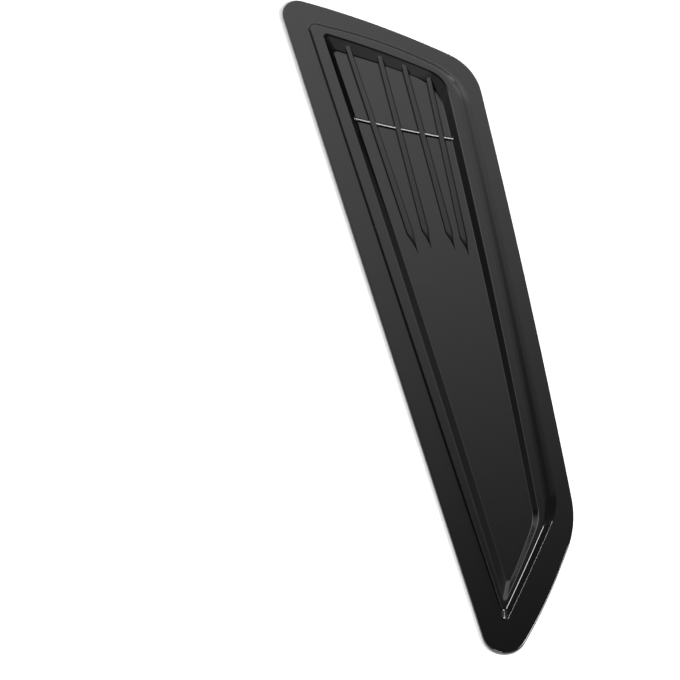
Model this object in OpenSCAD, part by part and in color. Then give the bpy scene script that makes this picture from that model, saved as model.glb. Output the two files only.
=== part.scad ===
// Stick-on bonnet scoop: one moulded plate with a raised land, a ramped blind pocket,
// four spear ribs and one cross bar. The straight side runs along Y, the deep end is at +Y.

/* [Outline] */
// Length of the straight side, from sharp corner to sharp corner
side_l = 491; // [440:1:540]
// Width at the shoulder corner, square to the straight side
shoulder_w = 111; // [104:0.5:120]
// Drop of the shoulder corner below the top corner
shoulder_drop = 87.6; // [75:0.1:100]
// Width at the lower corner, square to the straight side
low_w = 76.8; // [72:0.1:84]
// Rise of the lower corner above the bottom corner
low_rise = 84.2; // [75:0.1:95]
// Outward bow of the top side
top_bow = 6; // [0:0.1:8]
// Outward bow of the outer side
outer_bow = 3.2; // [0:0.1:6]
// Outward bow of the lower side
low_bow = 4.2; // [0:0.1:6]
// Corner radii: top tip, shoulder, lower corner, bottom tip
rim_r = [9.5, 39, 64, 14]; // [1:0.5:70]

/* [Heights] */
// Wall of the moulding
wall = 2.2; // [1.8:0.1:2.6]
// Depth of the recess under the flange that takes the fixing tape
tape_recess = 1.6; // [0.8:0.1:2.4]
// Rise of the land above the flange
land_rise = 3.2; // [2.4:0.1:4.5]
// Gap between the deep end of the floor and the surface below
floor_gap = 0.3; // [0.1:0.1:1]
// Depth of the pocket's floor below the land at the low end
low_depth = 2.2; // [1.5:0.1:3]
// Width of the lip that closes the tape recess
lip_w = 2; // [1.5:0.1:3]
// Radius of the flange's upper edge
rim_edge_r = 0.9; // [0.4:0.1:1.4]

/* [Flange] */
// Flange on the straight side, at its top and at its low end
flange_side = [13.2, 16.2]; // [11:0.1:18]
// Flange on the top side, at the tip and at the shoulder
flange_top = [8.6, 8.4]; // [6.5:0.1:11]
// Flange on the outer side, at the shoulder and at the lower corner
flange_outer = [7.5, 10]; // [6:0.1:12]
// Flange on the lower side, at the lower corner and at the bottom tip
flange_low = [15.2, 12.6]; // [11:0.1:17]

/* [Step up to the land] */
// Step on the straight side, at its top and at its low end
step_side = [1.9, 1.5]; // [1.2:0.1:2.6]
// Step on the top side, at the tip and at the shoulder
step_top = [4.6, 5.2]; // [3:0.1:6]
// Step on the outer side, at the shoulder and at the lower corner
step_outer = [12.5, 10.2]; // [8:0.1:13]
// Step on the lower side, at the lower corner and at the bottom tip
step_low = [2.8, 2]; // [1.6:0.1:3.4]

/* [Land] */
// Land on the straight side, at its top and at its low end
land_side = [5.8, 0.8]; // [0.6:0.1:7]
// Land on the top side, at the tip and at the shoulder
land_top = [2.7, 3.3]; // [1.5:0.1:4.5]
// Land on the outer side, at the shoulder and at the lower corner
land_outer = [1.5, 1.3]; // [0.8:0.1:2.5]
// Land on the lower side, at the lower corner and at the bottom tip
land_low = [2.6, 0.6]; // [0.5:0.1:3.5]

/* [Pocket wall] */
// Wall on the straight side, at its top and at its low end
drop_side = [4.4, 6.5]; // [3:0.1:8]
// End wall, at the tip and at the shoulder
drop_top = [8.4, 3.9]; // [3:0.1:10]
// Wall on the outer side, at the shoulder and at the lower corner
drop_outer = [4.4, 4.1]; // [3:0.1:6]
// Wall on the lower side, at the lower corner and at the bottom tip
drop_low = [4.6, 0.5]; // [0.4:0.1:6]
// Inward bow of the pocket's straight side
pocket_bow = 2.7; // [0:0.1:4]

/* [Ribs and bar] */
// Distance of each rib's upper end from the straight side
rib_top_x = [34.4, 52.2, 65.6, 78.2]; // [32:0.1:82]
// Distance of each rib's point from the straight side
rib_tip_x = [34.9, 43.9, 58.2, 65.4]; // [32:0.1:72]
// Drop of each rib's point below the top corner
rib_tip_drop = [206, 205, 210, 216]; // [150:1:260]
// Width of a rib's top
rib_w = 2.7; // [1.5:0.1:4]
// Spread of each rib flank from its top to the floor
rib_draft = 0.75; // [0.2:0.05:1.2]
// Height of the ribs above the floor at the end wall
rib_h = 2.9; // [1.5:0.1:3.4]
// Height of the ribs above the floor where the point begins
rib_low_h = 1.3; // [0.8:0.1:2]
// Length of a rib's point
rib_point_l = 13; // [6:0.5:25]
// Width of the cross bar
bar_w = 1.6; // [1:0.1:2.5]
// Height of the bar above the floor
bar_h = 2.5; // [1.4:0.1:3]
// Drop of the bar's ends below the top corner: at the straight side and at the outer side
bar_drop = [102, 135.5]; // [80:0.5:180]
// Sag of the bar's middle below its ends
bar_sag = 2; // [0:0.1:5]

/* [Hidden] */
gloss_black = [0.03, 0.03, 0.035];
// How far ribs and bar are let into the floor and the walls
sink = 0.6;
// Radii of their upper edges, and the spread of the bar's flanks
rib_edge_r = 0.4;
bar_edge_r = 0.5;
bar_draft = 0.15;
// Thickness of the bar's single sections before they are joined
slice = 0.02;
// Draft that the rim's outer face gains up to its rounded edge
rim_draft = 0.05;

// Points on a sharp corner's arc and on a bowed side's arc
corner_n = 9;
bow_n = 7;

// Levels above the surface that the part is stuck to
flange_z = tape_recess + wall;
land_z = flange_z + land_rise;
deep_z = floor_gap + wall;

// Sharp corners of the rim: top tip, shoulder, lower corner, bottom tip
tip = [0, side_l];
shoulder = [shoulder_w, side_l - shoulder_drop];
low = [low_w, low_rise];
foot = [0, 0];
rim_corners = [tip, shoulder, low, foot];

// How far each line lies inside the rim: [side, top, outer, low], each as [start, end] going clockwise
rim_in = [[0, 0], [0, 0], [0, 0], [0, 0]];
function turned(pair) = [pair[1], pair[0]];
foot_in = [turned(flange_side), flange_top, flange_outer, flange_low];
edge_in = foot_in + [turned(step_side), step_top, step_outer, step_low];
mouth_in = edge_in + [turned(land_side), land_top, land_outer, land_low];
floor_in = mouth_in + [turned(drop_side), drop_top, drop_outer, drop_low];

// Outward bow of each line, in the same order
rim_bow = [0, top_bow, outer_bow, low_bow];
foot_bow = [0, top_bow, outer_bow, 0.6];
edge_bow = [0, top_bow - 1, outer_bow, 0.5];
mouth_bow = [-pocket_bow, 2.4, outer_bow, 0.7];
floor_bow = [-pocket_bow, 1.5, outer_bow, 0.8];

// Corner radii of each line: top tip, shoulder, lower corner, bottom tip
foot_r = [4, 28, 42, 2.4];
edge_r = [3, 20, 34, 1.6];
mouth_r = [2.4, 11, 19, 1.4];
floor_r = [1.6, 13, 17, 2];

function unit(v) = v / norm(v);
function cross2(a, b) = a[0] * b[1] - a[1] * b[0];
function mix(a, b, t) = a * (1 - t) + b * t;

// Inward normal of a side that runs clockwise from a to b
function inward(a, b) = let (d = unit(b - a)) [d[1], -d[0]];

// Where the line through a and b meets the line through c and d
function meet(a, b, c, d) = a + (b - a) * cross2(c - a, d - c) / cross2(b - a, d - c);

// The sharp corners of a line that lies inside the rim by the given amounts.
// Side i runs from corner i - 1 to corner i, so the straight side comes first.
function inner_corners(inset) = [
    for (i = [0:3])
        let (
            before = rim_corners[(i + 3) % 4],
            here = rim_corners[i],
            after = rim_corners[(i + 1) % 4],
            n1 = inward(before, here),
            n2 = inward(here, after),
            a = inset[i],
            b = inset[(i + 1) % 4]
        )
        meet(before + n1 * a[0], here + n1 * a[1], here + n2 * b[0], after + n2 * b[1])
];

// Half of the angle between the two sides that meet in q
function half_angle(p, q, r) = acos(max(-1, min(1, unit(p - q) * unit(r - q)))) / 2;

// Arc of radius r that rounds corner q between p and s, in n steps
function arc(p, q, s, r, n) =
    let (
        half = half_angle(p, q, s),
        centre = q + unit(unit(p - q) + unit(s - q)) * r / sin(half),
        from = q + unit(p - q) * r / tan(half),
        to = q + unit(s - q) * r / tan(half),
        a0 = atan2(from[1] - centre[1], from[0] - centre[0]),
        a1 = atan2(to[1] - centre[1], to[0] - centre[0]),
        turn = (a1 - a0 + 540) % 360 - 180
    )
    [for (k = [0:n]) centre + r * [cos(a0 + turn * k / n), sin(a0 + turn * k / n)]];

// Middle of the side from a to b, moved out by its bow
function crown(a, b, bow) = (a + b) / 2 - inward(a, b) * bow;

// A bowed side: one shallow arc, as wide as the corner radii at its two ends allow
function bowed(a, b, bow, room_a, room_b, n) =
    abs(bow) < 0.05
        ? [for (k = [0:n]) mix(a + unit(b - a) * room_a, b + unit(a - b) * room_b, (k + 0.5) / (n + 1))]
        : let (
            q = crown(a, b, bow),
            half = half_angle(a, q, b),
            room = min(norm(q - a) - room_a, norm(q - b) - room_b) * 0.94
        )
        arc(a, q, b, room * tan(half), n);

// A closed line of four rounded corners and four bowed sides, clockwise from the straight side
function outline(corners, bows, radii) =
    let (
        crowns = [for (i = [0:3]) crown(corners[(i + 3) % 4], corners[i], bows[i])],
        room = [
            for (i = [0:3])
                radii[i] / tan(half_angle(crowns[i], corners[i], crowns[(i + 1) % 4]))
        ]
    )
    [
        for (i = [0:3])
            each concat(
                bowed(corners[(i + 3) % 4], corners[i], bows[i], room[(i + 3) % 4], room[i], bow_n),
                arc(crowns[i], corners[i], crowns[(i + 1) % 4], radii[i], corner_n)
            )
    ];

// The five lines that the shell is drawn on, seen from above
rim_line = outline(inner_corners(rim_in), rim_bow, rim_r);
foot_line = outline(inner_corners(foot_in), foot_bow, foot_r);
edge_line = outline(inner_corners(edge_in), edge_bow, edge_r);
mouth_line = outline(inner_corners(mouth_in), mouth_bow, mouth_r);
floor_line = outline(inner_corners(floor_in), floor_bow, floor_r);
ring_n = len(rim_line);
rim_low = [min([for (p = rim_line) p[0]]), min([for (p = rim_line) p[1]])];
rim_high = [max([for (p = rim_line) p[0]]), max([for (p = rim_line) p[1]])];

// The floor is one plane that climbs from the deep end to the low end
floor_ys = [for (p = floor_line) p[1]];
deep_y = max(floor_ys);
low_y = min(floor_ys);
function floor_z(y) = deep_z + (land_z - low_depth - deep_z) * (deep_y - y) / (deep_y - low_y);

// A smooth rise from 0 to 1: curved over the share a at its foot and c at its head, straight between
function rise(q, a, c) =
    let (m = 2 / (2 - a - c))
    q < a ? m * q * q / (2 * a)
    : q > 1 - c ? 1 - m * (1 - q) * (1 - q) / (2 * c)
    : m * (q - a / 2);

// Rings of points, each a line at a height or between two lines
function level(line, z) = [for (p = line) [p[0], p[1], z]];
function inset_line(by, line, towards) = [
    for (i = [0:ring_n - 1]) line[i] + unit(towards[i] - line[i]) * by
];
function step_ring(q, drop) = [
    for (i = [0:ring_n - 1])
        let (p = mix(foot_line[i], edge_line[i], q))
        [p[0], p[1], flange_z + land_rise * rise(q, 0.4, 0.3) - drop]
];
function wall_ring(q, drop) = [
    for (i = [0:ring_n - 1])
        let (
            p = mix(mouth_line[i], floor_line[i], q),
            depth = land_z - floor_z(floor_line[i][1])
        )
        [p[0], p[1], land_z - depth * rise(q, 0.16, 0.2) - drop]
];

// Upper side, from the rim's foot inwards to the floor
top_rings = concat(
    [level(rim_line, 0)],
    [
        for (a = [0:30:90])
            level(
                inset_line(rim_draft + rim_edge_r * (1 - cos(a)), rim_line, foot_line),
                flange_z - rim_edge_r * (1 - sin(a))
            )
    ],
    [for (q = [0, 0.15, 0.3, 0.4, 0.55, 0.7, 0.8, 0.9, 1]) step_ring(q, 0)],
    [for (q = [0, 0.05, 0.1, 0.16, 0.5, 0.8, 0.87, 0.94, 1]) wall_ring(q, 0)]
);

// Underside, from the floor outwards to the lip: one wall below the upper side
under_foot = [
    for (i = [0:ring_n - 1]) foot_line[i] + unit(edge_line[i] - foot_line[i]) * wall / 2
];
under_edge = [for (i = [0:ring_n - 1]) mix(edge_line[i], mouth_line[i], 0.3)];
under_mouth = [for (i = [0:ring_n - 1]) mix(edge_line[i], mouth_line[i], 0.7)];
under_floor = [
    for (i = [0:ring_n - 1]) floor_line[i] + unit(mouth_line[i] - floor_line[i]) * wall / 3
];
function under_step(q) = [
    for (i = [0:ring_n - 1])
        let (p = mix(under_foot[i], under_edge[i], q))
        [p[0], p[1], tape_recess + land_rise * rise(q, 0.4, 0.3)]
];
function under_wall(q) = [
    for (i = [0:ring_n - 1])
        let (
            p = mix(under_mouth[i], under_floor[i], q),
            depth = land_z - floor_z(under_floor[i][1])
        )
        [p[0], p[1], land_z - wall - depth * rise(q, 0.2, 0.1)]
];
lip_line = inset_line(lip_w, rim_line, foot_line);
under_rings = concat(
    [for (q = [1, 0.9, 0.5, 0.2, 0]) under_wall(q)],
    [for (q = [1, 0.7, 0.4, 0.2, 0]) under_step(q)],
    [level(lip_line, tape_recess), level(lip_line, 0)]
);

// A closed solid through rings of equal count, capped at the first and the last ring.
// The rings run clockwise round the solid when it is seen along the way from first to last.
module loft(rings) {
    n = len(rings[0]);
    m = len(rings);
    skin = [
        for (j = [0:m - 2])
            for (i = [0:n - 1])
                let (
                    a = j * n + i,
                    b = j * n + (i + 1) % n,
                    c = (j + 1) * n + (i + 1) % n,
                    d = (j + 1) * n + i
                )
                each [[a, b, c], [a, c, d]]
    ];
    first_cap = [for (i = [n - 1:-1:0]) i];
    last_cap = [for (i = [0:n - 1]) (m - 1) * n + i];
    polyhedron(
        points = [for (r = rings) each r],
        faces = concat(skin, [first_cap, last_cap]),
        convexity = 8
    );
}

// One skin from the floor's underside out to the lip, round the rim and back over the top to the floor
module shell() {
    loft(concat(under_rings, top_rings));
}

// Where a line crosses a given x on its top side, or a given y on its straight or outer side
function crossings(line, axis, at) = [
    for (i = [0:ring_n - 1])
        let (p = line[i], q = line[(i + 1) % ring_n])
        if ((p[axis] - at) * (q[axis] - at) <= 0 && p[axis] != q[axis])
            mix(p, q, (at - p[axis]) / (q[axis] - p[axis]))
];
function upper_y(line, x) = max([for (p = crossings(line, 0, x)) p[1]]);
function side_x(line, y) = min([for (p = crossings(line, 1, y)) p[0]]);
function outer_x(line, y) = max([for (p = crossings(line, 1, y)) p[0]]);

// Share of the wall's plan width, from the mouth, at which the wall stands h above a floor that is depth down
function wall_share(h, depth) = let (m = 2 / (2 - 0.16 - 0.2)) min(1, (1 - h / depth) / m + 0.08);

// Section of a rib or bar: flat top of width w with rounded edges, flanks that spread by draft
function ridge(w, h, draft, r) = [
    [-w / 2 - draft, -sink],
    [-w / 2, h - r],
    [-w / 2 + 0.3 * r, h - 0.3 * r],
    [-w / 2 + r, h],
    [w / 2 - r, h],
    [w / 2 - 0.3 * r, h - 0.3 * r],
    [w / 2, h - r],
    [w / 2 + draft, -sink]
];

// A rib: from inside the end wall down the floor to its point
function rib_ring(k, y, share, w, h, end) =
    let (
        x = mix(rib_tip_x[k], rib_top_x[k], share),
        draft = rib_draft * min(1, w / rib_w)
    )
    [
        for (p = ridge(w, h, draft, min(rib_edge_r, 0.3 * w)))
            let (
                depth = land_z - floor_z(y),
                q = wall_share(max(0, p[1]), depth),
                wall_y = mix(upper_y(mouth_line, x), upper_y(floor_line, x), q) + sink,
                here = end ? wall_y : y
            )
            [x + p[0], here, floor_z(y) + p[1]]
    ];
module rib(k) {
    tip_y = side_l - rib_tip_drop[k];
    neck_y = tip_y + rib_point_l;
    top_y = upper_y(floor_line, rib_top_x[k]);
    loft([
        rib_ring(k, top_y, 1, rib_w, rib_h, true),
        rib_ring(k, mix(neck_y, top_y, 0.5), mix(0.08, 1, 0.5), rib_w, mix(rib_low_h, rib_h, 0.5), false),
        for (t = [0, 0.35, 0.65, 0.85, 1])
            rib_ring(
                k,
                mix(neck_y, tip_y, t),
                0.08 * (1 - t),
                rib_w * (1 - 0.92 * t),
                rib_low_h * (1 - 0.8 * t * t),
                false
            )
    ]);
}

// The bar's arc: its ends stand at the foot of the two side walls
bar_y = [side_l - bar_drop[0], side_l - bar_drop[1]];
bar_ends = [[side_x(floor_line, bar_y[0]), bar_y[0]], [outer_x(floor_line, bar_y[1]), bar_y[1]]];
bar_way = unit(bar_ends[1] - bar_ends[0]);
bar_turn = atan2(bar_way[1], bar_way[0]);
bar_steps = 12;

// Wall width at each end of the bar, and how far the wall recedes up to the bar's top
bar_reach = [
    bar_ends[0][0] - side_x(mouth_line, bar_y[0]),
    outer_x(mouth_line, bar_y[1]) - bar_ends[1][0]
];
function bar_run(e) = bar_reach[e] * (1 - wall_share(bar_h, land_z - floor_z(bar_y[e])));

// One section of the bar at the share t of its arc. At its ends it leans back against the wall.
module bar_section(t) {
    middle = mix(bar_ends[0], bar_ends[1], t) - [-bar_way[1], bar_way[0]] * bar_sag * 4 * t * (1 - t);
    lean = t == 0 ? -bar_run(0) / bar_h : t == 1 ? bar_run(1) / bar_h : 0;
    let_in = t == 0 ? -sink : t == 1 ? sink : 0;
    translate([middle[0], middle[1], floor_z(middle[1])])
        rotate([0, 0, bar_turn])
            multmatrix([[1, 0, lean, let_in], [0, 1, 0, 0], [0, 0, 1, 0]])
                rotate([90, 0, 90])
                    linear_extrude(slice, center = true)
                        polygon(ridge(bar_w, bar_h, bar_draft, bar_edge_r));
}

// The cross bar: one shallow arc over the floor, let into the walls at both ends
module cross_bar() {
    for (j = [0:bar_steps - 1])
        hull() {
            bar_section(j / bar_steps);
            bar_section((j + 1) / bar_steps);
        }
}

module bonnet_scoop() {
    color(gloss_black)
        translate([-(rim_low[0] + rim_high[0]) / 2, -(rim_low[1] + rim_high[1]) / 2, 0]) {
            shell();
            for (k = [0:len(rib_top_x) - 1]) rib(k);
            cross_bar();
        }
}

bonnet_scoop();
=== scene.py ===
# %% [markdown]
# # A stick-on bonnet scoop
#
# The real object is one thin plate of glossy black plastic, moulded in one shot. A flat flange runs
# round it, a smooth step lifts a narrow land above the flange, and inside the land a blind pocket
# sinks to a floor that climbs from the deep end to the low end. Four spear ribs and one cross bar
# stand on that floor. Black gloss shows hardly any colour of its own, so nearly all that the eye
# reads is how each small radius bends the reflection of the lights. The lesson is about those radii.

# %% Load the frame
import math

import bmesh
import bpy
import numpy as np
from mathutils import Matrix, Vector


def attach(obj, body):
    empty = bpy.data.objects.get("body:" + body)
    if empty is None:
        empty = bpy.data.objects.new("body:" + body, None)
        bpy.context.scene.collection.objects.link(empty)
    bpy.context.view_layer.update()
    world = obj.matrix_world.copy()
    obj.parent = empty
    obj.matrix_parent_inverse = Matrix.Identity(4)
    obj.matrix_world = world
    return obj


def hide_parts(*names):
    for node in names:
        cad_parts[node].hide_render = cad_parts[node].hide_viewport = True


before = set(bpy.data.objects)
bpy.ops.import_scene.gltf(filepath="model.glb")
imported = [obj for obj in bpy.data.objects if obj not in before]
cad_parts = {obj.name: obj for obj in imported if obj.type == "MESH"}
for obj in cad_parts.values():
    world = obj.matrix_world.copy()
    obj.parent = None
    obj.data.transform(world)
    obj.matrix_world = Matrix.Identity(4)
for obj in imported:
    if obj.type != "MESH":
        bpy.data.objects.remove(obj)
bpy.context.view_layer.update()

MM = 0.001
NODE = "bonnet_scoop"
BODY = "root"

# %% [markdown]
# ## Camera
#
# The view is a long lens that looks down on the plate from the low end, about 23 degrees off its
# normal. It could be set by eye, but a few pixels of error show on such a plain outline, so the pose
# is given as an aim point, a direction and a distance. The camera comes first, because every later
# choice of edge radius depends on how large a millimetre is in the picture.

# %% Make the camera
LENS = 142.94
SENSOR = 36.0
CAMERA_AIM = Vector((-0.08256, -0.00816, 0.0))
CAMERA_DISTANCE = 1.6937
CAMERA_AZIMUTH = math.radians(17.821)
CAMERA_ELEVATION = math.radians(67.432)
CAMERA_ROLL = math.radians(-1.735)


def direction(azimuth, elevation):
    """Unit vector at an azimuth clockwise from +Y, seen from above, and an elevation."""
    flat = math.cos(elevation)
    return Vector((math.sin(azimuth) * flat, math.cos(azimuth) * flat, math.sin(elevation)))


def make_camera():
    camera = bpy.data.objects.new("camera", bpy.data.cameras.new("camera"))
    bpy.context.scene.collection.objects.link(camera)
    look = direction(CAMERA_AZIMUTH, -CAMERA_ELEVATION)
    camera.location = CAMERA_AIM - look * CAMERA_DISTANCE
    turn = look.to_track_quat("-Z", "Y").to_matrix() @ Matrix.Rotation(-CAMERA_ROLL, 3, "Z")
    camera.rotation_euler = turn.to_euler()
    camera.data.lens = LENS
    camera.data.sensor_width = SENSOR
    camera.data.clip_end = 50.0
    bpy.context.scene.camera = camera
    return camera


camera = make_camera()
print("camera at", [round(v, 3) for v in camera.location])

# %% [markdown]
# ## The outline rule
#
# Seen from above, the plate is five closed lines, one inside the other: the rim, the foot and the
# edge of the step, the mouth of the pocket and the edge of its floor. Each line has four rounded
# corners and four shallow bowed sides. They could be drawn by hand, but then a change of one width
# would mean redrawing. Here each line is the rim moved inwards by a width at each end of each side,
# which is also how the solid's own source draws it.

# %% Widths of the plate in millimetres
SIDE_LENGTH = 491.0
SHOULDER = (111.0, 87.6)
LOW_CORNER = (76.8, 84.2)
RIM_BOW = (0.0, 6.0, 3.2, 4.2)
RIM_RADII = (9.5, 39.0, 64.0, 14.0)

# Each row goes clockwise: straight side, top side, outer side, lower side, as (start, end)
FLANGE = ((14.4, 13.25), (10.5, 10.5), (7.6, 8.6), (14.8, 12.1))
STEP = ((2.4, 1.1), (4.4, 4.6), (9.6, 9.6), (4.0, 3.2))
LAND = ((0.6, 6.35), (1.5, 1.9), (3.5, 3.6), (3.0, 0.8))
WALL = ((7.2, 4.6), (9.3, 5.2), (6.4, 4.0), (4.4, 0.8))

# How much of the step's width its hollow foot and its rounded crest take, one share for each side
STEP_COVE = (0.4, 0.4, 0.42, 0.03)
STEP_CREST = (0.3, 0.3, 0.3, 0.15)

FOOT_BOW = (0.0, 6.0, 3.2, 0.6)
EDGE_BOW = (0.7, 6.0, 3.2, 0.5)
MOUTH_BOW = (-1.9, 2.4, 3.2, 0.7)
FLOOR_BOW = (-3.0, 1.5, 3.2, 0.8)

# Corner radii: top tip, shoulder, lower corner, bottom tip
FOOT_RADII = (4.0, 47.0, 42.0, 2.4)
EDGE_RADII = (3.0, 34.0, 34.0, 1.6)
MOUTH_RADII = (2.4, 22.0, 28.0, 1.4)
FLOOR_RADII = (1.6, 33.0, 26.0, 1.4)

# The arcs are finer than the solid's, so the rim is drawn this much further in to stay inside it
RIM_INSET = 0.02

# Steps in the arc of a corner, and along a side
CORNER_STEPS = 20
SIDE_STEPS = 40

# A side bowed by less than STRAIGHT is drawn straight, and any other arc takes SIDE_FILL of its room
STRAIGHT = 0.05
SIDE_FILL = 0.94


def unit(v):
    return v / np.linalg.norm(v)


def meet(a, b, c, d):
    """Where the line through a and b meets the line through c and d."""
    u, v, w = b - a, d - c, c - a
    return a + u * (w[0] * v[1] - w[1] * v[0]) / (u[0] * v[1] - u[1] * v[0])


def inward(a, b):
    along = unit(b - a)
    return np.array([along[1], -along[0]])


def half_angle(p, q, s):
    return math.acos(float(np.clip(unit(p - q) @ unit(s - q), -1, 1))) / 2


def arc(p, q, s, radius, steps):
    """The arc that rounds corner q between p and s."""
    half = half_angle(p, q, s)
    centre = q + unit(unit(p - q) + unit(s - q)) * radius / math.sin(half)
    start = q + unit(p - q) * radius / math.tan(half) - centre
    end = q + unit(s - q) * radius / math.tan(half) - centre
    a0 = math.atan2(start[1], start[0])
    turn = (math.atan2(end[1], end[0]) - a0 + math.pi) % (2 * math.pi) - math.pi
    angles = a0 + turn * np.arange(steps + 1) / steps
    return centre + radius * np.stack([np.cos(angles), np.sin(angles)], 1)


def crown(a, b, bow):
    return (a + b) / 2 - inward(a, b) * bow


def bowed(a, b, bow, room_a, room_b):
    """The shallow arc of one side, between its two corner arcs."""
    if abs(bow) < STRAIGHT:
        share = (np.arange(SIDE_STEPS + 1)[:, None] + 0.5) / (SIDE_STEPS + 1)
        start, end = a + unit(b - a) * room_a, b + unit(a - b) * room_b
        return start * (1 - share) + end * share
    top = crown(a, b, bow)
    room = min(np.linalg.norm(top - a) - room_a, np.linalg.norm(top - b) - room_b) * SIDE_FILL
    return arc(a, top, b, room * math.tan(half_angle(a, top, b)), SIDE_STEPS)


RIM_CORNERS = [
    np.array([0.0, SIDE_LENGTH]),
    np.array([SHOULDER[0], SIDE_LENGTH - SHOULDER[1]]),
    np.array(LOW_CORNER),
    np.array([0.0, 0.0]),
]


def line_at(inset, bows, radii):
    """A closed line inside the rim by the given widths, clockwise from the low end of the straight side."""
    corners = []
    for i, here in enumerate(RIM_CORNERS):
        before, after = RIM_CORNERS[i - 1], RIM_CORNERS[(i + 1) % 4]
        n1, n2 = inward(before, here), inward(here, after)
        a, b = inset[i], inset[(i + 1) % 4]
        corners.append(meet(before + n1 * a[0], here + n1 * a[1], here + n2 * b[0], after + n2 * b[1]))
    crowns = [crown(corners[i - 1], corners[i], bows[i]) for i in range(4)]
    rooms = [
        radii[i] / math.tan(half_angle(crowns[i], corners[i], crowns[(i + 1) % 4])) for i in range(4)
    ]
    points = []
    for i in range(4):
        points.append(bowed(corners[i - 1], corners[i], bows[i], rooms[i - 1], rooms[i]))
        points.append(arc(crowns[i], corners[i], crowns[(i + 1) % 4], radii[i], CORNER_STEPS))
    return np.concatenate(points)


def along(values):
    """One value for each point of a line: even along a side, blended round a corner."""
    parts = []
    for i in range(4):
        blend = np.arange(CORNER_STEPS + 1) / CORNER_STEPS
        parts.append(np.full(SIDE_STEPS + 1, values[i]))
        parts.append(values[i] * (1 - blend) + values[(i + 1) % 4] * blend)
    return np.concatenate(parts)


# %% Draw the five lines, centred as the frame is
foot_inset = np.array(FLANGE)
edge_inset = foot_inset + np.array(STEP)
mouth_inset = edge_inset + np.array(LAND)
floor_inset = mouth_inset + np.array(WALL)

outer = line_at(np.zeros((4, 2)), RIM_BOW, RIM_RADII)
shift = (outer.min(0) + outer.max(0)) / 2
rim = line_at(np.full((4, 2), RIM_INSET), RIM_BOW, RIM_RADII) - shift
foot = line_at(foot_inset, FOOT_BOW, FOOT_RADII) - shift
edge = line_at(edge_inset, EDGE_BOW, EDGE_RADII) - shift
mouth = line_at(mouth_inset, MOUTH_BOW, MOUTH_RADII) - shift
floor_edge = line_at(floor_inset, FLOOR_BOW, FLOOR_RADII) - shift
print("rim", len(rim), "points, spans", np.round(np.ptp(rim, axis=0), 2), "mm")

# %% [markdown]
# ## Heights
#
# The lip of the rim stands on the bonnet and the flange bridges a shallow recess for the fixing tape.
# All heights are counted from the bonnet. The floor is one plane: 4.5 mm below the land at the deep
# end, and 3 mm below it at the low end.

# %% Heights of the plate in millimetres
WALL_THICKNESS = 2.2
TAPE_RECESS = 1.6
LAND_RISE = 3.2
FLOOR_GAP = 0.3
LOW_DEPTH = 3.0
LIP_WIDTH = 2.0
RIM_ROUND = 1.2
RIM_DRAFT = 0.05

FLANGE_Z = TAPE_RECESS + WALL_THICKNESS
LAND_Z = FLANGE_Z + LAND_RISE
DEEP_Z = FLOOR_GAP + WALL_THICKNESS
LOW_Z = LAND_Z - LOW_DEPTH


def floor_z(y):
    """Height of the floor's plane at a place along the plate."""
    high, low = floor_edge[:, 1].max(), floor_edge[:, 1].min()
    return DEEP_Z + (LOW_Z - DEEP_Z) * (high - y) / (high - low)


print("flange, land, deep floor, low floor:", FLANGE_Z, LAND_Z, DEEP_Z, LOW_Z)

# %% [markdown]
# ## A node tree from a few helpers
#
# The plate, its ribs and its bar all follow rules, so Geometry Nodes shape them. A tree written in
# code gets long when every node takes three lines. These helpers add a node, set its values and link
# its inputs in one call, and put the tree's named inputs on a modifier by their identifiers.

# %% Helpers for node trees


def add(tree, kind, links=None, **settings):
    """A new node. links maps an input's name or number to a socket or a value."""
    node = tree.nodes.new(kind)
    for name, value in settings.items():
        setattr(node, name, value)
    for key, value in (links or {}).items():
        socket = node.inputs[key]
        if isinstance(value, bpy.types.NodeSocket):
            tree.links.new(value, socket)
        else:
            socket.default_value = value
    return node


def math_node(tree, operation, *values):
    return add(tree, "ShaderNodeMath", dict(enumerate(values)), operation=operation).outputs[0]


def vector_node(tree, operation, *values):
    return add(tree, "ShaderNodeVectorMath", dict(enumerate(values)), operation=operation).outputs[0]


def new_tree(name, kind, inputs, outputs):
    """An empty tree with named sockets. Returns it with its input and output nodes."""
    tree = bpy.data.node_groups.new(name, kind)
    for label, socket_type, value in inputs:
        socket = tree.interface.new_socket(name=label, in_out="INPUT", socket_type=socket_type)
        if value is not None:
            socket.default_value = value
    for label, socket_type in outputs:
        tree.interface.new_socket(name=label, in_out="OUTPUT", socket_type=socket_type)
    return tree, tree.nodes.new("NodeGroupInput"), tree.nodes.new("NodeGroupOutput")


def run_tree(name, source, tree, values):
    """Put a tree on an object, set its inputs, and keep the result as a plain mesh."""
    modifier = source.modifiers.new(tree.name, "NODES")
    modifier.node_group = tree
    for label, value in values.items():
        modifier[tree.interface.items_tree[label].identifier] = value
    evaluated = source.evaluated_get(bpy.context.evaluated_depsgraph_get())
    mesh = bpy.data.meshes.new_from_object(evaluated)
    source.modifiers.remove(modifier)
    bpy.data.objects.remove(source)
    mesh.name = name
    made = bpy.data.objects.new(name, mesh)
    bpy.context.scene.collection.objects.link(made)
    return made


def attribute(tree, name, data_type="FLOAT"):
    node = add(tree, "GeometryNodeInputNamedAttribute", {"Name": name}, data_type=data_type)
    return node.outputs["Attribute"]


print("helpers ready")

# %% [markdown]
# ## The soft rise
#
# A moulded step has no sharp corner: it leaves one level on a small radius, runs straight, and meets
# the next level on another. One function does both the step and the pocket's wall. Its slope grows
# over a first share of the width, stays even, and fades over a last share. As a node group it can be
# used wherever a surface has to go from one height to another.

# %% Node group: soft rise


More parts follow.
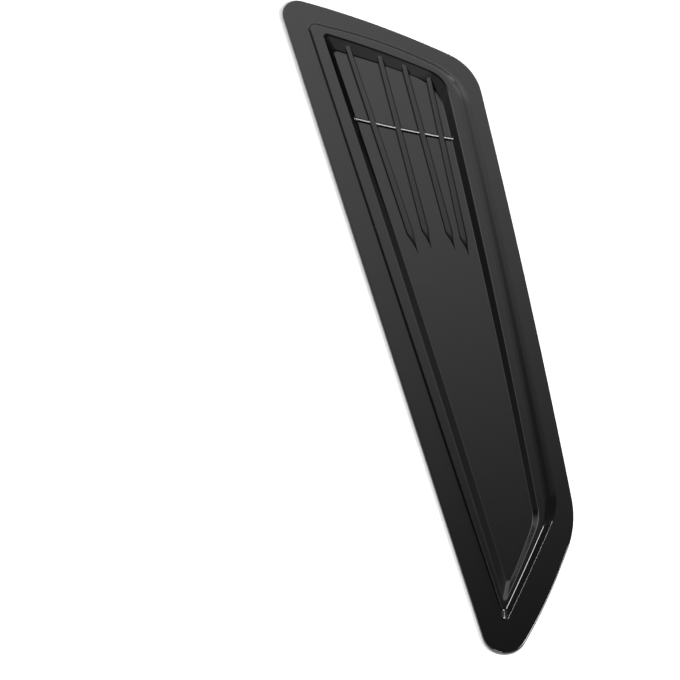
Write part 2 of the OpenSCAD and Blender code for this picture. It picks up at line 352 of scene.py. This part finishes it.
def squared_past(tree, value, start):
    """Half the square of how far value is past start, or 0 before it."""
    past = math_node(tree, "MAXIMUM", math_node(tree, "SUBTRACT", value, start), 0.0)
    return math_node(tree, "MULTIPLY", math_node(tree, "MULTIPLY", past, past), 0.5)


def make_soft_rise():
    tree, given, out = new_tree(
        "Soft rise",
        "GeometryNodeTree",
        [
            ("Share", "NodeSocketFloat", 0.0),
            ("Foot", "NodeSocketFloat", 0.3),
            ("Head", "NodeSocketFloat", 0.3),
        ],
        [("Rise", "NodeSocketFloat")],
    )
    share, foot_share, head_share = given.outputs[0], given.outputs[1], given.outputs[2]
    begin = math_node(tree, "DIVIDE", squared_past(tree, share, 0.0), foot_share)
    even = math_node(tree, "DIVIDE", squared_past(tree, share, foot_share), foot_share)
    fade_from = math_node(tree, "SUBTRACT", 1.0, head_share)
    fade = math_node(tree, "DIVIDE", squared_past(tree, share, fade_from), head_share)
    shape = math_node(tree, "SUBTRACT", math_node(tree, "SUBTRACT", begin, even), fade)
    spread = math_node(tree, "SUBTRACT", 2.0, math_node(tree, "ADD", foot_share, head_share))
    steepness = math_node(tree, "DIVIDE", 2.0, spread)
    tree.links.new(math_node(tree, "MULTIPLY", shape, steepness), out.inputs["Rise"])
    return tree


soft_rise = make_soft_rise()
print("soft rise:", len(soft_rise.nodes), "nodes")

# %% [markdown]
# ## The plate's skin
#
# The plate could be cut out of a block, but then each radius would be a bevel that breaks where the
# widths run out. Instead a blank of plain quads, one column for each point of the outline and one row
# for each place across the section, gets its form from a node tree. Each point of the blank carries
# the two lines that it lies between, its share of the way, and the two heights that it goes between.
# The skin runs from under the floor out to the lip, round the rim and back over the top to the floor,
# so it is one closed body with a real wall.

# %% Rows of the blank
STEP_ROWS = 26
WALL_ROWS = 30
UNDER_ROWS = 14
ROUND_ROWS = 8
LAND_ROWS = (0.1, 0.9)
WALL_SOFT = (0.2, 0.14)
UNDER_SOFT = (0.2, 0.1)

# Below the land, the corners lie this share of its width in from its edges
UNDER_TURN = 0.3

# A row this many millimetres beside an edge keeps the shading of a flat face flat
GUARD = 0.35

columns = len(rim)
step_soft = (along(STEP_COVE), along(STEP_CREST))
rows = []


def add_row(line_a, line_b, share, low, high, soft=(0.3, 0.3), back=0.0):
    """One ring of the blank. Heights and softness are one number, or one for each column."""
    even = [np.broadcast_to(value, columns) for value in (low, high, *soft)]
    rows.append((line_a, line_b, share, *even, back))


def towards(line, other, by):
    """The line moved by a distance towards another line."""
    way = other - line
    return line + way / np.linalg.norm(way, axis=1)[:, None] * by


def shares(count):
    return [k / count for k in range(count + 1)]


def eased(count):
    """Shares that crowd at both ends, where a step or wall bends."""
    return [(1 - math.cos(math.pi * share)) / 2 for share in shares(count)]


def under_rows():
    """Underside: floor, pocket wall, land and step, one wall below the top, then tape seat and lip."""
    floor_in = towards(floor_edge, mouth, WALL_THICKNESS / 3)
    mouth_in = edge * UNDER_TURN + mouth * (1 - UNDER_TURN)
    edge_in = edge * (1 - UNDER_TURN) + mouth * UNDER_TURN
    foot_in = towards(foot, edge, WALL_THICKNESS / 2)
    under_land = LAND_Z - WALL_THICKNESS
    low_here = floor_z(floor_in[:, 1]) - WALL_THICKNESS
    inner = towards(floor_in, mouth_in, -GUARD)
    add_row(inner, inner, 0.0, floor_z(inner[:, 1]) - WALL_THICKNESS, 0.0, back=1.0)
    for q in reversed(eased(UNDER_ROWS)):
        add_row(mouth_in, floor_in, q, under_land, low_here, soft=UNDER_SOFT, back=1.0)
    for q in reversed(eased(UNDER_ROWS)):
        add_row(foot_in, edge_in, q, TAPE_RECESS, under_land, soft=step_soft, back=1.0)
    lip = towards(rim, foot, LIP_WIDTH)
    for line in (towards(foot_in, lip, GUARD), towards(lip, foot_in, GUARD), lip):
        add_row(line, line, 0.0, TAPE_RECESS, 0.0, back=1.0)
    add_row(lip, lip, 0.0, GUARD, 0.0, back=1.0)
    add_row(lip, lip, 0.0, 0.0, 0.0, back=1.0)


def top_rows():
    """Rim, flange, step, land, pocket wall and floor."""
    add_row(rim, rim, 0.0, 0.0, 0.0)
    add_row(rim, rim, 0.0, GUARD, 0.0)
    for k in range(ROUND_ROWS + 1):
        angle = math.pi / 2 * k / ROUND_ROWS
        line = towards(rim, foot, RIM_DRAFT + RIM_ROUND * (1 - math.cos(angle)))
        add_row(line, line, 0.0, FLANGE_Z - RIM_ROUND * (1 - math.sin(angle)), 0.0)
    for line in (towards(rim, foot, RIM_ROUND + GUARD), towards(foot, rim, GUARD)):
        add_row(line, line, 0.0, FLANGE_Z, 0.0)
    for q in eased(STEP_ROWS):
        add_row(foot, edge, q, FLANGE_Z, LAND_Z, soft=step_soft)
    for q in LAND_ROWS:
        line = edge * (1 - q) + mouth * q
        add_row(line, line, 0.0, LAND_Z, 0.0)
    for q in eased(WALL_ROWS):
        add_row(mouth, floor_edge, q, LAND_Z, floor_z(floor_edge[:, 1]), soft=WALL_SOFT)
    inner = towards(floor_edge, mouth, -GUARD)
    add_row(inner, inner, 0.0, floor_z(inner[:, 1]), 0.0)


under_rows()
top_rows()
print("blank:", columns, "columns by", len(rows), "rows")

# %% Build the blank


def make_blank():
    count = len(rows)
    faces = []
    for j in range(count - 1):
        for i in range(columns):
            k = (i + 1) % columns
            faces.append((j * columns + i, (j + 1) * columns + i, (j + 1) * columns + k, j * columns + k))
    faces.append(tuple(range(columns)))
    faces.append(tuple((count - 1) * columns + i for i in reversed(range(columns))))
    flat = np.concatenate([np.c_[row[0], np.zeros(columns)] for row in rows]) * MM
    mesh = bpy.data.meshes.new("blank")
    mesh.from_pydata(flat.tolist(), [], faces)

    def store(name, data_type, values, field):
        mesh.attributes.new(name, data_type, "POINT").data.foreach_set(field, np.ravel(values))

    far = np.concatenate([np.c_[row[1], np.zeros(columns)] for row in rows]) * MM
    store("line_b", "FLOAT_VECTOR", far, "vector")
    store("share", "FLOAT", np.repeat([row[2] for row in rows], columns), "value")
    store("from_z", "FLOAT", np.concatenate([row[3] for row in rows]) * MM, "value")
    store("to_z", "FLOAT", np.concatenate([row[4] for row in rows]) * MM, "value")
    store("soft_start", "FLOAT", np.concatenate([row[5] for row in rows]), "value")
    store("soft_end", "FLOAT", np.concatenate([row[6] for row in rows]), "value")
    store("back", "FLOAT", np.repeat([row[7] for row in rows], columns), "value")
    blank = bpy.data.objects.new("blank", mesh)
    bpy.context.scene.collection.objects.link(blank)
    return blank


blank = make_blank()
print("blank has", len(blank.data.polygons), "faces")

# %% [markdown]
# ## Black gloss, and the duller back
#
# Moulded black plastic is a very dark body under a clear, smooth skin. A roughness of zero would look
# like glass, so the skin gets three small flaws that the real one has: a faint long waviness where it
# shrank, a much finer orange peel, and a trace of dust that dulls single spots. The back of the part
# comes off the rough half of the mould, so the same group is used there with other values.

# %% Shader group: moulded skin
SPECK_SCALE = 420.0
SPECK_REACH = 0.16
SPECK_FLOOR = -0.06
CLOUD_SCALE = 35.0
CLOUD_SHARE = 0.12


def make_moulded_skin():
    tree, given, out = new_tree(
        "Moulded skin",
        "ShaderNodeTree",
        [
            ("Wave size", "NodeSocketFloat", 60.0),
            ("Peel size", "NodeSocketFloat", 900.0),
            ("Peel share", "NodeSocketFloat", 0.1),
            ("Dust", "NodeSocketFloat", 0.2),
            ("Smooth", "NodeSocketFloat", 0.08),
            ("Dull", "NodeSocketFloat", 0.3),
        ],
        [("Height", "NodeSocketFloat"), ("Roughness", "NodeSocketFloat"), ("Dust mask", "NodeSocketFloat")],
    )
    place = add(tree, "ShaderNodeTexCoord").outputs["Object"]

    def noise(scale, detail):
        node = add(tree, "ShaderNodeTexNoise", {"Vector": place, "Scale": scale, "Detail": detail})
        return node.outputs["Fac"]

    wave = noise(given.outputs["Wave size"], detail=1.0)
    peel = noise(given.outputs["Peel size"], detail=2.0)
    fine = math_node(tree, "MULTIPLY", peel, given.outputs["Peel share"])
    tree.links.new(math_node(tree, "ADD", wave, fine), out.inputs["Height"])
    specks = add(tree, "ShaderNodeTexVoronoi", {"Vector": place, "Scale": SPECK_SCALE}).outputs["Distance"]
    clouds = noise(CLOUD_SCALE, detail=3.0)
    near = math_node(tree, "MULTIPLY_ADD", clouds, SPECK_REACH, SPECK_FLOOR)
    mask = math_node(tree, "MULTIPLY", math_node(tree, "LESS_THAN", specks, near), given.outputs["Dust"])
    tree.links.new(mask, out.inputs["Dust mask"])
    spread = math_node(tree, "SUBTRACT", given.outputs["Dull"], given.outputs["Smooth"])
    amount = math_node(tree, "MULTIPLY_ADD", clouds, CLOUD_SHARE, mask)
    rough = math_node(tree, "MULTIPLY_ADD", spread, amount, given.outputs["Smooth"])
    tree.links.new(rough, out.inputs["Roughness"])
    return tree


moulded_skin = make_moulded_skin()
print("moulded skin:", len(moulded_skin.nodes), "nodes")

# %% Materials: the visible face and the back
PLASTIC = (0.0018, 0.0018, 0.0019, 1.0)
BACK_PLASTIC = (0.009, 0.009, 0.0095, 1.0)
DUST = (0.16, 0.155, 0.15, 1.0)


def plastic(name, skin_values, bump, distance, body=PLASTIC):
    material = bpy.data.materials.new(name)
    material.use_nodes = True
    tree = material.node_tree
    shader = tree.nodes["Principled BSDF"]
    skin = add(tree, "ShaderNodeGroup", node_tree=moulded_skin)
    for label, value in skin_values.items():
        skin.inputs[label].default_value = value
    tint = add(tree, "ShaderNodeMix", data_type="RGBA")
    for socket, value in ((tint.inputs[6], body), (tint.inputs[7], DUST)):
        socket.default_value = value
    tree.links.new(skin.outputs["Dust mask"], tint.inputs[0])
    tree.links.new(tint.outputs[2], shader.inputs["Base Color"])
    tree.links.new(skin.outputs["Roughness"], shader.inputs["Roughness"])
    values = {"Strength": bump, "Distance": distance, "Height": skin.outputs["Height"]}
    relief = add(tree, "ShaderNodeBump", values)
    tree.links.new(relief.outputs["Normal"], shader.inputs["Normal"])
    shader.inputs["IOR"].default_value = 1.5
    return material


gloss = plastic(
    "gloss_black",
    {"Wave size": 55.0, "Peel size": 1100.0, "Peel share": 0.03, "Dust": 0.1, "Smooth": 0.07, "Dull": 0.32},
    bump=0.12,
    distance=0.12 * MM,
)
satin = plastic(
    "moulded_back",
    {"Wave size": 70.0, "Peel size": 2600.0, "Peel share": 1.0, "Dust": 0.1, "Smooth": 0.34, "Dull": 0.6},
    bump=0.5,
    distance=0.04 * MM,
    body=BACK_PLASTIC,
)
print("materials:", gloss.name, satin.name)

# %% Node tree: the plate's skin


def make_skin_tree():
    tree, given, out = new_tree(
        "Plate skin",
        "GeometryNodeTree",
        [
            ("Geometry", "NodeSocketGeometry", None),
            ("Face", "NodeSocketMaterial", None),
            ("Back", "NodeSocketMaterial", None),
        ],
        [("Geometry", "NodeSocketGeometry")],
    )
    share = attribute(tree, "share")
    softness = {0: share, 1: attribute(tree, "soft_start"), 2: attribute(tree, "soft_end")}
    rise = add(tree, "GeometryNodeGroup", softness, node_tree=soft_rise).outputs[0]
    here = add(tree, "GeometryNodeInputPosition").outputs[0]
    plan = add(
        tree,
        "ShaderNodeMix",
        {0: share, 4: here, 5: attribute(tree, "line_b", "FLOAT_VECTOR")},
        data_type="VECTOR",
    ).outputs[1]
    height = add(
        tree,
        "ShaderNodeMix",
        {0: rise, 2: attribute(tree, "from_z"), 3: attribute(tree, "to_z")},
        data_type="FLOAT",
        clamp_factor=False,
    ).outputs[0]
    lift = add(tree, "ShaderNodeCombineXYZ", {2: height}).outputs[0]
    placed = add(
        tree,
        "GeometryNodeSetPosition",
        {"Geometry": given.outputs["Geometry"], "Position": vector_node(tree, "ADD", plan, lift)},
    )
    smooth = add(tree, "GeometryNodeSetShadeSmooth", {"Geometry": placed.outputs[0]})
    real = add(tree, "GeometryNodeRealizeInstances", {"Geometry": smooth.outputs[0]})
    face = add(
        tree,
        "GeometryNodeSetMaterial",
        {"Geometry": real.outputs[0], "Material": given.outputs["Face"]},
    )
    back = add(
        tree,
        "GeometryNodeSetMaterial",
        {
            "Geometry": face.outputs[0],
            "Selection": math_node(tree, "GREATER_THAN", attribute(tree, "back"), 0.99),
            "Material": given.outputs["Back"],
        },
    )
    tree.links.new(back.outputs[0], out.inputs["Geometry"])
    return tree


def face_outwards(piece):
    """Recalculate the normals of a closed mesh, and say how large it is."""
    work = bmesh.new()
    work.from_mesh(piece.data)
    bmesh.ops.recalc_face_normals(work, faces=work.faces)
    open_edges = sum(not e.is_manifold for e in work.edges)
    volume = work.calc_volume(signed=True) / MM**3
    work.to_mesh(piece.data)
    work.free()
    print(piece.name, len(piece.data.polygons), "faces,", round(volume), "mm3,", open_edges, "open edges")


plate = run_tree("moulded_plate", blank, make_skin_tree(), {"Face": gloss, "Back": satin})
face_outwards(plate)

# %% [markdown]
# ## Spear ribs and the cross bar
#
# Four ribs leave the end wall and run down the floor, each with the same section and drafted
# flanks. They get lower on the way, and each ends in a point: one edge runs straight on and the other
# sweeps over to it. A curve swept with a section is the usual way. The sweep alone can't lower
# the rib without narrowing it, so the tree first keeps the centre of each section, and after the
# sweep moves each point about that centre by rules in the share of the length. The cross bar is
# the same tree with other values.

# %% Sizes of ribs and bar in millimetres
RIB_TOPS = (34.4, 52.2, 65.6, 78.2)
RIB_TIPS = (34.9, 43.9, 58.2, 65.4)
RIB_TIP_DROPS = (206.0, 205.0, 210.0, 216.0)
RIB_WIDTH = 2.7
RIB_LEFT_DRAFT = 0.8
RIB_RIGHT_DRAFT = 1.3
RIB_RIGHT_DRAFT_AT_POINT = 1.7
RIB_HEIGHT = 2.9
RIB_LOW_HEIGHT = 1.3
RIB_POINT = 13.0
RIB_END_WIDTH = 0.2
RIB_END_HEIGHT = 0.3
RIB_SWEEP = 1.6
RIB_EDGE_RADIUS = 0.4
BAR_WIDTH = 1.4
BAR_HEIGHT = 2.5
BAR_SLANT = 1.0
BAR_DRAFT = 0.15
BAR_EDGE_RADIUS = 0.25
BAR_DROPS = (103.7, 134.6)
BAR_SAG = 0.6
BAR_POINTS = 24

# The ends run into the plate by END_SINK, and the feet into the floor by FOOT_SINK
END_SINK = 0.9
FOOT_SINK = 0.6

# How far the top of an end leans over, for each millimetre of height, to stay inside its wall
RIB_LEAN = 1.6
BAR_LEAN = 0.6


def crossings(line, axis, at):
    nxt = np.roll(line, -1, axis=0)
    hit = (line[:, axis] - at) * (nxt[:, axis] - at) <= 0
    a, b = line[hit], nxt[hit]
    return a + (b - a) * ((at - a[:, axis]) / (b[:, axis] - a[:, axis]))[:, None]


def place(x, y):
    """A point on the floor, in metres, from a place in the outline's own millimetres."""
    return Vector((x, y, floor_z(y))) * MM


rib_paths = []
for top_x, tip_x, drop in zip(RIB_TOPS, RIB_TIPS, RIB_TIP_DROPS):
    x = top_x - shift[0]
    start = crossings(floor_edge, 0, x)[:, 1].max()
    tip_y = SIDE_LENGTH - drop - shift[1]
    rib_paths.append([place(x, start + END_SINK), place(tip_x - shift[0], tip_y)])

bar_left_y, bar_right_y = (SIDE_LENGTH - drop - shift[1] for drop in BAR_DROPS)
bar_start = np.array([crossings(floor_edge, 1, bar_left_y)[:, 0].min() - END_SINK, bar_left_y])
bar_end = np.array([crossings(floor_edge, 1, bar_right_y)[:, 0].max() + END_SINK, bar_right_y])
bar_across = np.array([[0, 1], [-1, 0]]) @ unit(bar_end - bar_start)
bar_path = [
    place(*(bar_start * (1 - t) + bar_end * t + bar_across * BAR_SAG * 4 * t * (1 - t)))
    for t in shares(BAR_POINTS)
]
rib_lengths = [(b - a).length / MM for a, b in rib_paths]
rib_length = sum(rib_lengths) / len(rib_lengths)
print("rib lengths:", [round(length, 1) for length in rib_lengths], "mm")

# %% Node tree: a section swept and shaped
END_RING = 0.001


def make_sweep_tree():
    tree, given, out = new_tree(
        "Swept ridge",
        "GeometryNodeTree",
        [
            ("Geometry", "NodeSocketGeometry", None),
            ("Rings", "NodeSocketInt", 60),
            ("Width", "NodeSocketFloat", 0.0027),
            ("Left draft", "NodeSocketFloat", 0.0007),
            ("Right draft", "NodeSocketFloat", 0.0009),
            ("Right draft at point", "NodeSocketFloat", 0.0016),
            ("Height", "NodeSocketFloat", 0.003),
            ("Low height", "NodeSocketFloat", 0.0013),
            ("Slant", "NodeSocketFloat", 0.0),
            ("Edge radius", "NodeSocketFloat", 0.0004),
            ("Edge steps", "NodeSocketInt", 8),
            ("Sink", "NodeSocketFloat", 0.0006),
            ("Point share", "NodeSocketFloat", 0.08),
            ("End width", "NodeSocketFloat", 0.08),
            ("End height", "NodeSocketFloat", 0.2),
            ("Sweep", "NodeSocketFloat", 1.6),
            ("Start lean", "NodeSocketFloat", 1.0),
            ("End lean", "NodeSocketFloat", 0.0),
            ("Material", "NodeSocketMaterial", None),
        ],
        [("Geometry", "NodeSocketGeometry")],
    )
    g = given.outputs
    curve = add(tree, "GeometryNodeMeshToCurve", {"Mesh": g["Geometry"]}).outputs[0]
    curve = add(tree, "GeometryNodeResampleCurve", {"Curve": curve, "Count": g["Rings"]}).outputs[0]
    curve = add(tree, "GeometryNodeSetCurveNormal", {"Curve": curve}, mode="Z_UP").outputs[0]
    keep = add(tree, "GeometryNodeCaptureAttribute", {"Geometry": curve}, domain="POINT")
    keep.capture_items.new("VECTOR", "Centre")
    keep.capture_items.new("VECTOR", "Way")
    keep.capture_items.new("FLOAT", "Share")
    tree.links.new(add(tree, "GeometryNodeInputPosition").outputs[0], keep.inputs["Centre"])
    tree.links.new(add(tree, "GeometryNodeInputTangent").outputs[0], keep.inputs["Way"])
    tree.links.new(add(tree, "GeometryNodeSplineParameter").outputs["Factor"], keep.inputs["Share"])

    half = math_node(tree, "MULTIPLY", g["Width"], 0.5)
    left_foot = math_node(tree, "ADD", half, g["Left draft"])
    right_foot = math_node(tree, "MULTIPLY", math_node(tree, "ADD", half, g["Right draft"]), -1.0)
    near_top = math_node(tree, "SUBTRACT", g["Slant"], g["Height"])
    far_top = math_node(tree, "MULTIPLY", g["Height"], -1.0)
    minus_half = math_node(tree, "MULTIPLY", half, -1.0)

    def corner(x, y):
        return add(tree, "ShaderNodeCombineXYZ", {0: x, 1: y}).outputs[0]

    # The sweep turns the section over: its +X becomes the left side and its -Y the top
    section = add(
        tree,
        "GeometryNodeCurvePrimitiveQuadrilateral",
        {
            "Point 1": corner(left_foot, g["Sink"]),
            "Point 2": corner(right_foot, g["Sink"]),
            "Point 3": corner(minus_half, far_top),
            "Point 4": corner(half, near_top),
        },
        mode="POINTS",
    ).outputs[0]
    section = add(
        tree,
        "GeometryNodeFilletCurve",
        {"Curve": section, "Radius": g["Edge radius"], "Limit Radius": True, "Count": g["Edge steps"]},
        mode="POLY",
    ).outputs[0]
    swept = add(
        tree,
        "GeometryNodeCurveToMesh",
        {"Curve": keep.outputs["Geometry"], "Profile Curve": section, "Fill Caps": True},
    ).outputs[0]

    share, centre, way = keep.outputs["Share"], keep.outputs["Centre"], keep.outputs["Way"]
    local = vector_node(tree, "SUBTRACT", add(tree, "GeometryNodeInputPosition").outputs[0], centre)
    parts = add(tree, "ShaderNodeSeparateXYZ", {0: local}).outputs

    def over(value, start, end, low, high):
        ends = {"Value": value, "From Min": start, "From Max": end, "To Min": low, "To Max": high}
        return add(tree, "ShaderNodeMapRange", ends).outputs[0]

    neck = math_node(tree, "SUBTRACT", 1.0, g["Point share"])
    kept = math_node(tree, "POWER", over(share, neck, 1.0, 1.0, 0.0), g["Sweep"])
    narrow = over(kept, 0.0, 1.0, g["End width"], 1.0)
    slide = math_node(tree, "MULTIPLY", math_node(tree, "SUBTRACT", 1.0, narrow), half)
    low_share = math_node(tree, "DIVIDE", g["Low height"], g["Height"])
    body = over(share, 0.0, neck, 1.0, low_share)
    gone = math_node(tree, "POWER", over(share, neck, 1.0, 0.0, 1.0), 2.0)
    point = over(gone, 0.0, 1.0, 1.0, g["End height"])
    scale = math_node(tree, "MULTIPLY", body, point)
    above = math_node(tree, "GREATER_THAN", parts[2], 0.0)
    z_scale = add(tree, "ShaderNodeMix", {0: above, 2: 1.0, 3: scale}, data_type="FLOAT").outputs[0]
    z = math_node(tree, "MULTIPLY", parts[2], z_scale)

    below = math_node(tree, "MULTIPLY", math_node(tree, "GREATER_THAN", parts[0], half), narrow)
    extra = math_node(tree, "SUBTRACT", g["Right draft at point"], g["Right draft"])
    spread = math_node(tree, "MULTIPLY", math_node(tree, "MULTIPLY", extra, share), below)
    x = math_node(tree, "MULTIPLY_ADD", parts[0], narrow, math_node(tree, "ADD", slide, spread))

    at_start = math_node(tree, "LESS_THAN", share, END_RING)
    at_end = math_node(tree, "GREATER_THAN", share, 1.0 - END_RING)
    lean_start = math_node(tree, "MULTIPLY", at_start, math_node(tree, "MULTIPLY", g["Start lean"], -1.0))
    lean = math_node(tree, "MULTIPLY_ADD", at_end, g["End lean"], lean_start)
    level_only = add(tree, "ShaderNodeCombineXYZ", {0: 1.0, 1: 1.0}).outputs[0]
    shear = vector_node(tree, "MULTIPLY", way, level_only)
    run = math_node(tree, "MULTIPLY", lean, z)
    push = add(tree, "ShaderNodeVectorMath", {0: shear, "Scale": run}, operation="SCALE").outputs[0]
    moved = vector_node(
        tree,
        "ADD",
        vector_node(tree, "ADD", centre, push),
        add(tree, "ShaderNodeCombineXYZ", {0: x, 1: parts[1], 2: z}).outputs[0],
    )
    placed = add(tree, "GeometryNodeSetPosition", {"Geometry": swept, "Position": moved}).outputs[0]
    real = add(tree, "GeometryNodeRealizeInstances", {"Geometry": placed}).outputs[0]
    done = add(tree, "GeometryNodeSetMaterial", {"Geometry": real, "Material": g["Material"]}).outputs[0]
    tree.links.new(done, out.inputs["Geometry"])
    return tree


sweep = make_sweep_tree()
print("sweep:", len(sweep.nodes), "nodes")

# %% Sweep the ribs and the bar


def guide(name, paths):
    """Loose edges that the sweep turns into curves."""
    points, edges = [], []
    for path in paths:
        first = len(points)
        points.extend(path)
        edges.extend((first + k, first + k + 1) for k in range(len(path) - 1))
    mesh = bpy.data.meshes.new(name)
    mesh.from_pydata(points, edges, [])
    holder = bpy.data.objects.new(name, mesh)
    bpy.context.scene.collection.objects.link(holder)
    return holder


def smooth_by_angle(piece, degrees):
    piece.data.shade_smooth()
    piece.data.set_sharp_from_angle(angle=math.radians(degrees))


ribs = run_tree(
    "spear_ribs",
    guide("rib_guide", rib_paths),
    sweep,
    {
        "Rings": 90,
        "Width": RIB_WIDTH * MM,
        "Left draft": RIB_LEFT_DRAFT * MM,
        "Right draft": RIB_RIGHT_DRAFT * MM,
        "Right draft at point": RIB_RIGHT_DRAFT_AT_POINT * MM,
        "Height": RIB_HEIGHT * MM,
        "Low height": RIB_LOW_HEIGHT * MM,
        "Slant": 0.0,
        "Edge radius": RIB_EDGE_RADIUS * MM,
        "Edge steps": 8,
        "Sink": FOOT_SINK * MM,
        "Point share": RIB_POINT / rib_length,
        "End width": RIB_END_WIDTH / RIB_WIDTH,
        "End height": RIB_END_HEIGHT / RIB_LOW_HEIGHT,
        "Sweep": RIB_SWEEP,
        "Start lean": RIB_LEAN,
        "End lean": 0.0,
        "Material": gloss,
    },
)
bar = run_tree(
    "cross_bar",
    guide("bar_guide", [bar_path]),
    sweep,
    {
        "Rings": 60,
        "Width": BAR_WIDTH * MM,
        "Left draft": BAR_DRAFT * MM,
        "Right draft": BAR_DRAFT * MM,
        "Right draft at point": BAR_DRAFT * MM,
        "Height": BAR_HEIGHT * MM,
        "Low height": BAR_HEIGHT * MM,
        "Slant": BAR_SLANT * MM,
        "Edge radius": BAR_EDGE_RADIUS * MM,
        "Edge steps": 14,
        "Sink": FOOT_SINK * MM,
        "Point share": END_RING,
        "End width": 1.0,
        "End height": 1.0,
        "Sweep": 1.0,
        "Start lean": BAR_LEAN,
        "End lean": BAR_LEAN,
        "Material": gloss,
    },
)
for piece in (ribs, bar):
    face_outwards(piece)
    smooth_by_angle(piece, degrees=40)

# %% [markdown]
# ## Floor and light
#
# Under the plate lies a plain pale floor, and round it one soft sky: bright beyond the deep end, dark
# overhead and to both sides, with a little light from the near side. Flat faces mirror the edge between
# bright and dark, and that edge alone gives them their fade from the deep end to the low end. Two
# softboxes could hang overhead, but then every flat face would catch them. They stand at the sides
# instead, one for the small radii at the low end and one for the slanted top of the bar.

# %% Floor
FLOOR_HALF = 6.0


def make_floor():
    mesh = bpy.data.meshes.new("floor")
    work = bmesh.new()
    bmesh.ops.create_grid(work, x_segments=1, y_segments=1, size=FLOOR_HALF)
    work.to_mesh(mesh)
    work.free()
    floor = bpy.data.objects.new("floor", mesh)
    bpy.context.scene.collection.objects.link(floor)
    material = bpy.data.materials.new("pale_floor")
    material.use_nodes = True
    shader = material.node_tree.nodes["Principled BSDF"]
    shader.inputs["Base Color"].default_value = (0.86, 0.86, 0.86, 1.0)
    shader.inputs["Roughness"].default_value = 0.9
    shader.inputs["Specular IOR Level"].default_value = 0.1
    mesh.materials.append(material)
    return floor


floor = make_floor()
print("floor:", floor.dimensions[:])

# %% Sky and softboxes

# The dark and the bright level, where the edge between them begins and ends, and how far it turns
SKY_DARK = 0.06
SKY_BRIGHT = 1.72
SKY_BEGIN = 0.2215
SKY_END = 0.5715
SKY_TURN = 0.08

# How the bright part changes with the direction, each as (from, to, share before, share after)
LEFT_END = (-0.84, -0.64, 0.0, 1.25)
LEFT_GLOW = (-0.13, -0.5, 1.0, 1.4)
RIGHT_FADE = (-0.2, 0.8, 1.0, 0.8)
RIGHT_END = (0.81, 0.9, 1.0, 0.18)
BEYOND_FADE = (0.5, 0.85, 1.0, 0.7)
LOW_FADE = (0.0, 0.3, 0.4, 1.0)

# Two dim fills: one from the near side, one from the left for the corner of the pocket's wall
NEAR_FILL = 0.6
NEAR_RISE = (-0.15, -0.5)
NEAR_SIDE = (0.1, 0.6)
PATCH_WAY = (-0.9, -0.05, 0.43)
PATCH_FILL = 0.4
PATCH_RISE = (0.8, 0.97)

CAMERA_BACKDROP = (0.93, 0.93, 0.93, 1.0)
LIGHT_DISTANCE = 1.5
LOW_SIDE = Vector((0.01, -0.17, 0.0))
BAR_MIDDLE = Vector((0.015, 0.13, 0.0))


def make_sky():
    world = bpy.data.worlds.new("studio")
    world.use_nodes = True
    tree = world.node_tree
    tree.nodes.clear()
    way = add(tree, "ShaderNodeTexCoord").outputs["Generated"]
    parts = add(tree, "ShaderNodeSeparateXYZ", {0: way}).outputs

    def ramp(value, start, end, low, high):
        ends = {"Value": value, "From Min": start, "From Max": end, "To Min": low, "To Max": high}
        return add(tree, "ShaderNodeMapRange", ends, interpolation_type="SMOOTHSTEP").outputs[0]

    far_way = math_node(tree, "MULTIPLY_ADD", parts["X"], SKY_TURN, parts["Y"])
    far = ramp(far_way, SKY_BEGIN, SKY_END, 0.0, SKY_BRIGHT - SKY_DARK)
    changes = [ramp(parts["X"], *values) for values in (LEFT_END, LEFT_GLOW, RIGHT_FADE, RIGHT_END)]
    changes += [ramp(parts["Y"], *BEYOND_FADE), ramp(parts["Z"], *LOW_FADE)]
    for change in changes:
        far = math_node(tree, "MULTIPLY", far, change)
    near = ramp(parts["Y"], *NEAR_RISE, 0.0, NEAR_FILL)
    near = math_node(tree, "MULTIPLY", near, ramp(parts["X"], *NEAR_SIDE, 1.0, 0.0))
    likeness = {0: way, 1: PATCH_WAY}
    to_patch = add(tree, "ShaderNodeVectorMath", likeness, operation="DOT_PRODUCT").outputs["Value"]
    patch = ramp(to_patch, *PATCH_RISE, 0.0, PATCH_FILL)
    dim = math_node(tree, "ADD", math_node(tree, "ADD", near, patch), SKY_DARK)
    level = math_node(tree, "ADD", far, dim)
    light = add(tree, "ShaderNodeBackground", {"Color": (1.0, 1.0, 1.0, 1.0), "Strength": level})
    plain = add(tree, "ShaderNodeBackground", {"Color": CAMERA_BACKDROP, "Strength": 1.0})
    seen = add(tree, "ShaderNodeLightPath").outputs["Is Camera Ray"]
    both = add(tree, "ShaderNodeMixShader", {0: seen, 1: light.outputs[0], 2: plain.outputs[0]})
    add(tree, "ShaderNodeOutputWorld", {"Surface": both.outputs[0]})
    bpy.context.scene.world = world


def softbox(name, target, azimuth, elevation, size, radiance):
    """A rectangular light that faces a place on the plate."""
    lamp = bpy.data.lights.new(name, "AREA")
    lamp.shape = "RECTANGLE"
    lamp.size, lamp.size_y = size
    lamp.energy = radiance * math.pi * size[0] * size[1]
    holder = bpy.data.objects.new(name, lamp)
    way = direction(math.radians(azimuth), math.radians(elevation))
    holder.location = target + way * LIGHT_DISTANCE
    holder.rotation_euler = way.to_track_quat("Z", "Y").to_euler()
    bpy.context.scene.collection.objects.link(holder)
    print(name, "power", round(lamp.energy, 1), "W")


make_sky()
softbox("right_softbox", LOW_SIDE, azimuth=116.0, elevation=43.0, size=(0.6, 1.27), radiance=20.0)
softbox("near_softbox", BAR_MIDDLE, azimuth=210.0, elevation=40.6, size=(0.46, 0.28), radiance=20.0)
bpy.context.scene.view_settings.view_transform = "Standard"

# %% Put every piece on the frame
for piece in (plate, ribs, bar):
    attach(piece, BODY)
    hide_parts(NODE)
print("pieces:", [piece.name for piece in (plate, ribs, bar)])
